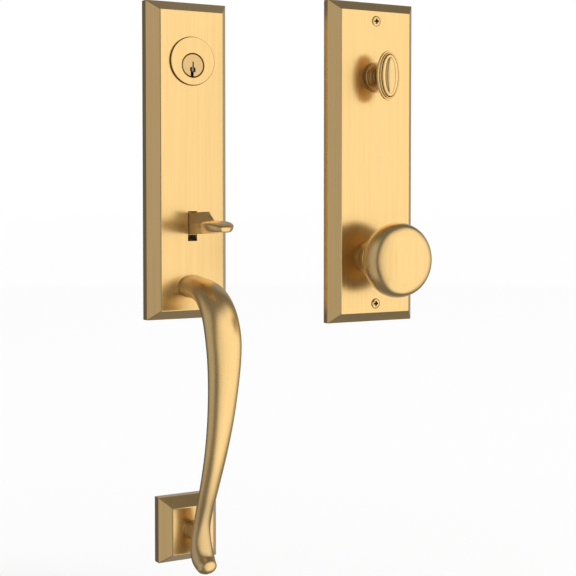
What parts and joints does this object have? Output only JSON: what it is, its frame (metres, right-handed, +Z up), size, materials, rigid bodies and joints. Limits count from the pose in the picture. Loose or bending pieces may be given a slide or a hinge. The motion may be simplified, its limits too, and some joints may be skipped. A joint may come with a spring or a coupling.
{
  "type": "entry door handleset",
  "caption": "Entry door handleset: bevelled outside plate with key cylinder, thumb piece and S-shaped grip on a square base, and a bevelled inside plate with an oval turn piece and a round knob.",
  "frame": {"origin": "on the back rim of the outside plate, in the middle of its bottom edge", "axes": "+Z up the plate, -Y out of the door towards the user, +X to the right seen from the front. The inside trim stands to the right and in front, facing the same way, as the set is shown in the picture"},
  "size_m": [0.1942, 0.1951, 0.4425],
  "materials": {
    "satin_brass": "satin, brushed up and down",
    "machined_brass": "turned, a little duller",
    "zinc_steel": "zinc plated",
    "spring_steel": "drawn wire",
    "black_plastic": "matt"
  },
  "bodies": {
    "trim": {"base_screw": "zinc_steel", "base_washer": "zinc_steel", "bracket_screw_lower": "zinc_steel", "bracket_screw_upper": "zinc_steel", "carrier_screw_1": "zinc_steel", "carrier_screw_2": "zinc_steel", "carrier_screw_3": "zinc_steel", "carrier_screw_4": "zinc_steel", "cylinder_bracket": "zinc_steel", "cylinder_housing": "satin_brass", "exterior_escutcheon": "satin_brass", "grip": "satin_brass", "grip_base": "satin_brass", "grip_screw": "zinc_steel", "grip_washer": "zinc_steel", "interior_chassis": "zinc_steel", "interior_escutcheon": "satin_brass", "interior_screw_bottom": "satin_brass", "interior_screw_top": "satin_brass", "knob_rose": "satin_brass", "lift_carrier": "zinc_steel", "lift_spring": "spring_steel", "slot_shield": "black_plastic", "thumb_pivot_pin": "zinc_steel", "turn_collar": "satin_brass"},
    "key_plug": {"cylinder_plug": "machined_brass", "plug_cap": "zinc_steel", "cylinder_tailpiece": "zinc_steel", "tumbler_pin_1": "zinc_steel", "tumbler_pin_2": "zinc_steel", "tumbler_pin_3": "zinc_steel", "tumbler_pin_4": "zinc_steel", "tumbler_pin_5": "zinc_steel"},
    "thumb": {"thumb_piece": "satin_brass"},
    "lift": {"lift_slide": "zinc_steel"},
    "hub": {"latch_hub": "zinc_steel", "hub_crank": "zinc_steel", "hub_clip": "zinc_steel", "exterior_spindle": "zinc_steel"},
    "turn": {"turn_piece": "satin_brass", "turn_driver": "zinc_steel", "turn_clip": "zinc_steel"},
    "knob": {"knob": "satin_brass", "knob_spindle": "zinc_steel", "knob_set_screw": "zinc_steel", "knob_clip": "zinc_steel"}
  },
  "joints": [
    {"name": "key_turn", "type": "hinge", "parent": "trim", "child": "key_plug", "pos_m": [0, -0.0201, 0.1961], "axis": [0, -1, 0], "range_deg": [-90, 90]},
    {"name": "thumb_press", "type": "hinge", "parent": "trim", "child": "thumb", "pos_m": [0, -0.007, 0.0768], "axis": [1, 0, 0], "range_deg": [0, 18], "stiffness_Nm_per_rad": 0.15, "springref_deg": -34.38},
    {"name": "lift_travel", "type": "slide", "parent": "trim", "child": "lift", "axis": [0, 0, 1], "range_m": [0, 0.00494], "deforming": ["lift_spring"]},
    {"name": "hub_turn", "type": "hinge", "parent": "trim", "child": "hub", "pos_m": [0, 0, 0.0598], "axis": [0, -1, 0], "range_deg": [0, 30.1]},
    {"name": "turn_piece_turn", "type": "hinge", "parent": "trim", "child": "turn", "pos_m": [0.1214, -0.0787, 0.1864], "axis": [0, -1, 0], "range_deg": [0, 90]},
    {"name": "knob_turn", "type": "hinge", "parent": "trim", "child": "knob", "pos_m": [0.1214, -0.0787, 0.0467], "axis": [0, -1, 0], "range_deg": [-45, 45], "stiffness_Nm_per_rad": 0.6}
  ],
  "couplings": [
    {"joint": "lift_travel", "follows": "thumb_press", "m_per_rad": 0.0157},
    {"joint": "hub_turn", "follows": "thumb_press", "ratio": 1.6667}
  ]
}
